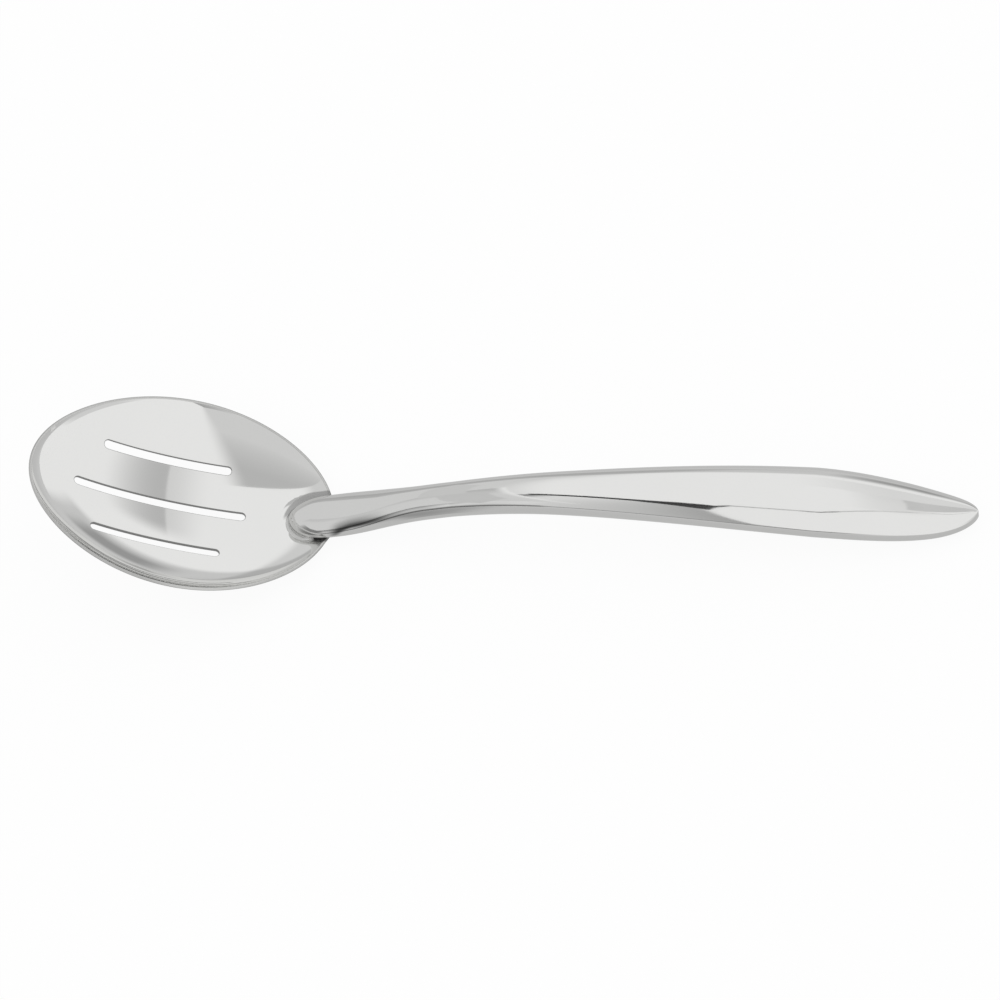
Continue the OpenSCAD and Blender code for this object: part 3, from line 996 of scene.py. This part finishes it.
# Grey panels of the walls and the ceiling: the share of white that each takes away, and its edges. An edge
# has a name, the place where it starts and the place where it is full. Side, depth and rise are parts of
# the direction, and across and back are places on a ceiling one unit above the spoon
ABOVE = ("rise", 0.05, 0.15)
BEHIND = ("depth", 0.3, 0.6)
CEILING_BACK = [("back", 0.08, 0.25), ("back", 1.3, 0.95)]
LEAST_RISE = 0.03  # keeps the places on the ceiling finite
PANELS = [
    # Right-hand panel with its edge, and what is beside it
    (0.42, [ABOVE, ("across", 0.575, 0.59), ("across", 1.1, 0.6), *CEILING_BACK]),
    (0.20, [ABOVE, ("across", 0.59, 0.575), ("across", 0.35, 0.58), *CEILING_BACK]),
    # Low on the right
    (0.22, [("side", 0.5, 0.75), ("depth", -0.1, -0.35), ("rise", 0.5, 0.25)]),
    # Low behind, with darker places in it
    (0.30, [BEHIND, ("side", 0.72, 0.58), ("rise", -0.4, -0.3), ("rise", 0.36, 0.27)]),
    (0.22, [BEHIND, ("side", 0.1, -0.2), ("rise", -0.3, -0.2), ("rise", 0.2, 0.08)]),
    (0.45, [BEHIND, ("side", 0.08, 0.26), ("side", 0.58, 0.42), ("rise", -0.02, 0.1), ("rise", 0.3, 0.18)]),
    # Beyond the bowl, over the handle's slim part
    (0.24, [ABOVE, ("across", -0.2, -0.5)]),
    # Dark gap between the table and the front
    (0.7, [("depth", -0.2, -0.4), ("side", 0.35, 0.1), ("rise", -0.08, -0.04), ("rise", 0.12, 0.08)]),
]


def stage_sheet(name, corners):
    """Flat sheet of the studio with four corners, and the empty node tree of its material."""
    mesh = bpy.data.meshes.new(name)
    mesh.from_pydata(corners, [], [(0, 1, 2, 3)])
    piece = bpy.data.objects.new(name, mesh)
    bpy.context.scene.collection.objects.link(piece)
    material = bpy.data.materials.new(name)
    material.use_nodes = True
    material.node_tree.nodes.clear()
    piece.data.materials.append(material)
    return piece, material.node_tree


def show(tree, surface):
    output = tree.nodes.new("ShaderNodeOutputMaterial")
    tree.links.new(surface, output.inputs["Surface"])


def rectangle(x0, x1, y0, y1):
    return [(x0, y0), (x1, y0), (x1, y1), (x0, y1)]


def floor():
    """A white table. Part of it is lit, so that it keeps the spoon's shadow. The steel mirrors it with
    painted shade.
    """
    corners = rectangle(-FLOOR_HALF, FLOOR_HALF, -FLOOR_HALF, FLOOR_HALF)
    piece, tree = stage_sheet("floor", [(x, y, 0) for x, y in corners])
    piece.location.z = -FLOOR_DROP
    nodes, links = tree.nodes, tree.links
    paper = nodes.new("ShaderNodeBsdfDiffuse")
    paper.inputs["Color"].default_value = FLOOR_COLOUR
    white = nodes.new("ShaderNodeEmission")
    path = nodes.new("ShaderNodeLightPath").outputs
    away = calculate(tree, "ABSOLUTE", components(tree, object_place(tree))[1])
    # Painted shade in the steel's mirror of the floor, darkest beside the spoon as a painted shadow
    level = mixed(tree, NEAR_PAINTED_SHADOW_LEVEL, FAR_PAINTED_SHADE_LEVEL, grade(tree, away, *LEVEL_SPAN))
    links.new(calculate(tree, "MAXIMUM", level, path["Is Camera Ray"]), white.inputs["Strength"])
    seen = calculate(tree, "MULTIPLY", path["Is Camera Ray"], SEEN_WHITE)
    mirrored = calculate(tree, "MAXIMUM", path["Is Glossy Ray"], path["Is Transmission Ray"])
    mirrored = calculate(tree, "MULTIPLY", mirrored, MIRRORED_WHITE)
    blend = nodes.new("ShaderNodeMixShader")
    links.new(calculate(tree, "MAXIMUM", seen, mirrored), blend.inputs["Fac"])
    links.new(paper.outputs["BSDF"], blend.inputs[1])
    links.new(white.outputs["Emission"], blend.inputs[2])
    show(tree, blend.outputs["Shader"])


def card(name, across, at, places, first, last=None, along="X", span=(0, 1), fade=None, back=None):
    """A grey card that only the polished steel mirrors.

    It lies across one axis at a distance, with its corners at places along the other two. Its level runs
    from the first to the last over a span along an axis. fade is a slant, a span and a level, which the
    card takes on over that span of x + slant * y. back is the level of its other side.
    """
    number = "XYZ".index(across)
    piece, tree = stage_sheet(name, [(*pair[:number], at, *pair[number:]) for pair in places])
    piece.visible_camera = False
    piece.visible_diffuse = False
    piece.visible_shadow = False
    parts = dict(zip("XYZ", components(tree, object_place(tree))))
    level = ramp(tree, parts[along], *span, first, first if last is None else last)
    if fade:
        slant, fade_span, beyond = fade
        run = calculate(tree, "ADD", parts["X"], calculate(tree, "MULTIPLY", parts["Y"], slant))
        level = mixed(tree, level, beyond, grade(tree, run, *fade_span))
    if back is not None:
        is_back = tree.nodes.new("ShaderNodeNewGeometry").outputs["Backfacing"]
        level = mixed(tree, level, back, is_back)
    glow = tree.nodes.new("ShaderNodeEmission")
    tree.links.new(level, glow.inputs["Strength"])
    show(tree, glow.outputs["Emission"])


def flags():
    """Cards above the bowl, in front, at the neck and at the tail."""
    card("overhead", across="Z", at=0.17,
         places=[(-0.26, -0.24), (-0.033, -0.24), (-0.055, 0.0585), (-0.26, -0.032)],
         first=0.76, last=0.58, along="Y", span=(-0.035, 0.03), fade=(0.073, (-0.064, -0.051), 1.0))
    card("front", across="Y", at=-0.58,
         places=[(-0.9, 0.06), (0.049, 0.06), (0.037, 1.3), (-0.9, 1.3)],
         first=0.86, last=0.42, span=(-0.2, 0.047))
    card("front_left", across="Y", at=-0.577, places=rectangle(-1.8, -0.3, 0, 1.7),
         first=0.25, last=0.8, span=(-0.44, -0.3), fade=(0.0, (-0.6, -1.7), 0.76))
    card("front_low", across="Y", at=-0.575, places=rectangle(-0.8, -0.15, 0, 0.12),
         first=0.12, last=0.6, along="Z", span=(0.02, 0.12))
    # The neck flags face the bowl with white, which hides the bar, and the handle with grey
    card("neck_flag", across="X", at=-0.045, places=rectangle(-0.09, 0, 0.055, 0.116), first=0.66, back=1.0)
    card("neck_flag_low", across="X", at=-0.045, places=rectangle(0, 0.07, 0.04, 0.085), first=0.7, back=1.0)
    card("tail_flag", across="Z", at=0.075, places=rectangle(0.1725, 0.26, 0.0175, 0.052),
         first=0.66, last=0.72, span=(0.173, 0.183))
    card("tail_flag_far", across="Z", at=0.075, places=rectangle(0.11, 0.26, 0.052, 0.12),
         first=1.0, last=0.86, span=(0.11, 0.17))


def bar():
    """Dark bar over the handle, with one card from each place of its route to the next."""
    for number, (start, end) in enumerate(zip(BAR_ROUTE, BAR_ROUTE[1:])):
        x0, y0, width0, level = start
        x1, y1, width1, _ = end
        near = [(x0, y0 - width0 / 2), (x1, y1 - width1 / 2)]
        far = [(x1, y1 + width1 / 2), (x0, y0 + width0 / 2)]
        card(f"bar_{number}", across="Z", at=BAR_HEIGHT, places=near + far, first=level)


def world():
    """White walls and ceiling, with grey panels that only the polished steel mirrors."""
    scene_world = bpy.data.worlds.new("studio")
    bpy.context.scene.world = scene_world
    scene_world.use_nodes = True
    tree = scene_world.node_tree
    direction = tree.nodes.new("ShaderNodeTexCoord").outputs["Generated"]
    parts = dict(zip(("side", "depth", "rise"), components(tree, direction)))
    height = calculate(tree, "MAXIMUM", parts["rise"], LEAST_RISE)
    parts["across"] = calculate(tree, "DIVIDE", parts["side"], height)
    parts["back"] = calculate(tree, "DIVIDE", parts["depth"], height)
    level = 1.0
    for share, edges in PANELS:
        mask = product(tree, [grade(tree, parts[name], start, full) for name, start, full in edges])
        level = dimmed(tree, level, mask, share)
    mirrored = tree.nodes.new("ShaderNodeLightPath").outputs["Is Glossy Ray"]
    background = tree.nodes["Background"]
    background.inputs["Color"].default_value = (1, 1, 1, 1)
    tree.links.new(mixed(tree, 1.0, level, mirrored), background.inputs["Strength"])


# Camera at the photograph's angle, in the part's frame and in millimetres. It stands to the right of the
# front by its azimuth, and its picture is square
CAMERA_PLACE = (239.2, -667.1, 1111.4)
CAMERA_AZIMUTH = 19.8107
CAMERA_ELEVATION = 57.0818
CAMERA_ROLL = -17.0909
CAMERA_LENS = 132.9048
CAMERA_SENSOR = 36
CAMERA_NEAREST = 10


def camera():
    data = bpy.data.cameras.new("camera")
    data.sensor_width = CAMERA_SENSOR
    data.lens = CAMERA_LENS
    data.clip_start = CAMERA_NEAREST * MM
    view = bpy.data.objects.new("camera", data)
    bpy.context.scene.collection.objects.link(view)
    turn = (
        Matrix.Rotation(CAMERA_AZIMUTH * DEG, 4, "Z")
        @ Matrix.Rotation((90 - CAMERA_ELEVATION) * DEG, 4, "X")
        @ Matrix.Rotation(CAMERA_ROLL * DEG, 4, "Z")
    )
    view.matrix_world = Matrix.Translation(Vector(CAMERA_PLACE) * MM) @ turn
    bpy.context.scene.camera = view


floor()
flags()
bar()
world()
camera()
bpy.context.scene.view_settings.view_transform = "Standard"
